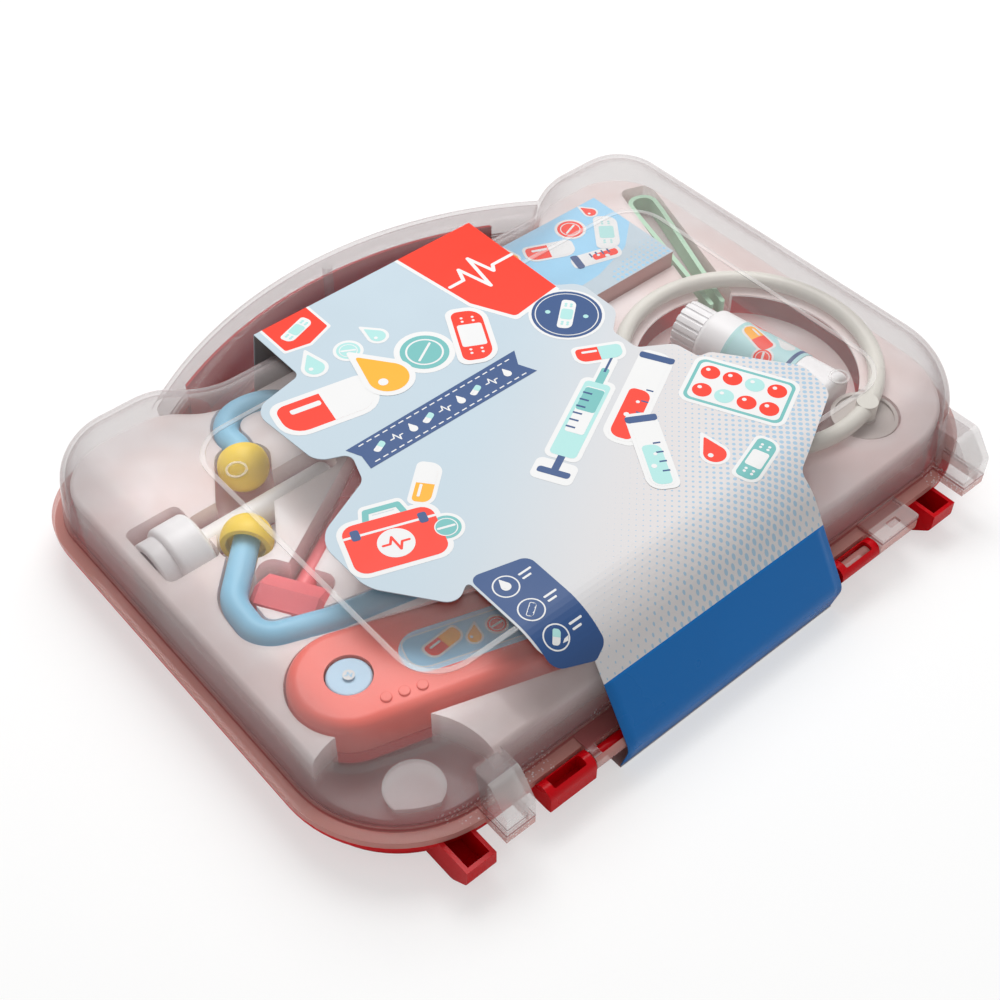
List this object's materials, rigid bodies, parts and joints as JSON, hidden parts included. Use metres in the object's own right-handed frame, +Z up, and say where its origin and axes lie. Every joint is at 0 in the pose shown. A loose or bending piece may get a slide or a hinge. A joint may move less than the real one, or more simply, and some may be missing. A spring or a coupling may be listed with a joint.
{
  "type": "toy doctor case",
  "caption": "Flat toy medical case with a clear domed lid on a pin hinge, a carrying handle, a folded card sleeve and a formed tray of toy instruments.",
  "frame": {"origin": "centre of the footprint, on the surface that the case lies on", "axes": "+X along the hinge, +Y from the hinge towards the handle, +Z up out of the lid"},
  "size_m": [0.3, 0.245, 0.054],
  "materials": {
    "red_shell": "gloss",
    "clear_shell": "gloss",
    "printed_card": "coated card",
    "printed_card_side": "coated card",
    "printed_card_back": "coated card",
    "tray_film": "gloss",
    "thermometer_red": "satin",
    "thermometer_salmon": "satin",
    "pale_blue": "satin",
    "label_blue": "satin",
    "probe_grey": "gloss",
    "light_blue": "satin",
    "tip_yellow": "satin",
    "white_plastic": "satin",
    "dark_lens": "gloss",
    "hammer_red": "satin",
    "label_teal": "satin",
    "warm_white": "satin",
    "mirror_beige": "satin",
    "carton_card": "coated card",
    "pale_green": "satin"
  },
  "bodies": {
    "base": {"base_shell": "red_shell", "sleeve_back": "printed_card_back", "sleeve_side": "printed_card_side", "insert_tray": "tray_film", "thermometer_lower_shell": "thermometer_red", "thermometer_upper_shell": "thermometer_salmon", "thermometer_label": "label_blue", "thermometer_probe": "probe_grey", "stethoscope_upper_arm": "light_blue", "stethoscope_lower_arm": "light_blue", "stethoscope_ball_tip": "tip_yellow", "stethoscope_cup_tip": "tip_yellow", "stethoscope_yoke": "light_blue", "chest_piece": "light_blue", "chest_piece_diaphragm": "tip_yellow", "torch_body": "white_plastic", "torch_collar": "white_plastic", "torch_lens": "dark_lens", "hammer_head": "hammer_red", "hammer_handle": "hammer_red", "bottle_body": "white_plastic", "bottle_label": "label_teal", "headband": "warm_white", "mirror_rivet": "mirror_beige", "card_carton": "carton_card", "tweezers": "pale_green"},
    "lid": {"lid_shell": "clear_shell", "sleeve_front": "printed_card"},
    "thermometer_button": {"thermometer_button": "pale_blue"},
    "bottle_cap": {"bottle_cap": "white_plastic"},
    "head_mirror": {"head_mirror": "mirror_beige"}
  },
  "joints": [
    {"name": "lid_hinge", "type": "hinge", "parent": "base", "child": "lid", "pos_m": [0, -0.1168, 0.014], "axis": [1, 0, 0], "range_deg": [0, 120], "deforming": ["sleeve_side"]},
    {"name": "button_press", "type": "slide", "parent": "base", "child": "thermometer_button", "axis": [0, 0, -1], "range_m": [0, 0.0012], "stiffness_N_per_m": 400, "springref_m": -0.0004},
    {"name": "cap_turn", "type": "hinge", "parent": "base", "child": "bottle_cap", "pos_m": [0.092, 0.001, 0.0271], "axis": [-0.1288, 0.9917, 0], "continuous": true},
    {"name": "mirror_swivel", "type": "hinge", "parent": "base", "child": "head_mirror", "pos_m": [0.10203, -0.0809, 0.0284], "axis": [0, 0, 1], "continuous": true}
  ]
}
